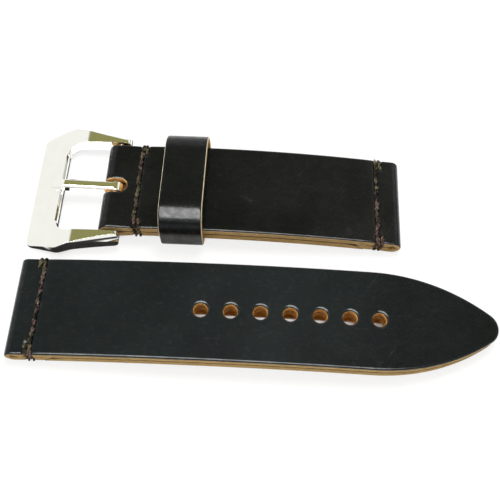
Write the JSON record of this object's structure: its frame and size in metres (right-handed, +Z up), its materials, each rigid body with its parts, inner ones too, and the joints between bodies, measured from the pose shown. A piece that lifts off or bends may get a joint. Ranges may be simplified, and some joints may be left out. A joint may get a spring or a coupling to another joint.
{
  "type": "watch strap",
  "caption": "Thick stitched leather watch strap: a pointed long piece with tang holes, and a short piece with a free keeper and a pivoting steel pin buckle.",
  "frame": {"origin": "centre of the bounding box's base, on the surface that the strap lies on", "axes": "+X along both pieces towards the long piece's tip, +Y across them from the long piece to the short piece, +Z up from the surface"},
  "size_m": [0.1134, 0.0623, 0.0131],
  "materials": {
    "black_leather": "smooth glossy black hide",
    "tan_leather": "undyed vegetable-tanned hide, matt",
    "thread": "waxed brown thread",
    "polished_steel": "polished",
    "spring_bar_steel": "turned"
  },
  "bodies": {
    "short_strap": {"short_outer_leather": "black_leather", "short_lining_leather": "tan_leather", "short_lug_stitching": "thread", "short_buckle_stitching": "thread"},
    "long_strap": {"long_outer_leather": "black_leather", "long_lining_leather": "tan_leather", "long_lug_stitching": "thread"},
    "keeper": {"keeper_loop": "black_leather", "keeper_stitching": "thread"},
    "buckle": {"buckle_frame": "polished_steel"},
    "tang": {"buckle_tang": "polished_steel"},
    "bar": {"spring_bar_tube": "spring_bar_steel", "spring_bar_spring": "spring_bar_steel"},
    "plunger_near": {"spring_bar_plunger_near": "spring_bar_steel"},
    "plunger_far": {"spring_bar_plunger_far": "spring_bar_steel"}
  },
  "joints": [
    {"name": "long_piece_lift", "type": "slide", "parent": "short_strap", "child": "long_strap", "axis": [0, 0, 1], "range_m": [0, 0.06]},
    {"name": "keeper_slide", "type": "hinge", "parent": "short_strap", "child": "keeper", "pos_m": [-0.00896, 0.01378, -0.34241], "axis": [0, 1, 0], "range_deg": [-0.7, 6.75]},
    {"name": "buckle_swing", "type": "hinge", "parent": "short_strap", "child": "buckle", "pos_m": [-0.03602, 0.01378, 0.00368], "axis": [0, 1, 0], "range_deg": [-70, 25]},
    {"name": "tang_swing", "type": "hinge", "parent": "buckle", "child": "tang", "pos_m": [-0.03602, 0.01378, 0.00368], "axis": [0, 1, 0], "range_deg": [0, 75]},
    {"name": "bar_turn", "type": "hinge", "parent": "short_strap", "child": "bar", "pos_m": [-0.03602, 0.01378, 0.00368], "axis": [0, 1, 0], "continuous": true},
    {"name": "near_plunger_press", "type": "slide", "parent": "bar", "child": "plunger_near", "axis": [0, 1, 0], "range_m": [0, 0.00115], "stiffness_N_per_m": 800, "springref_m": -0.0008, "deforming": ["spring_bar_spring"]},
    {"name": "far_plunger_press", "type": "slide", "parent": "bar", "child": "plunger_far", "axis": [0, -1, 0], "range_m": [0, 0.00115], "stiffness_N_per_m": 800, "springref_m": -0.0008, "deforming": ["spring_bar_spring"]}
  ]
}
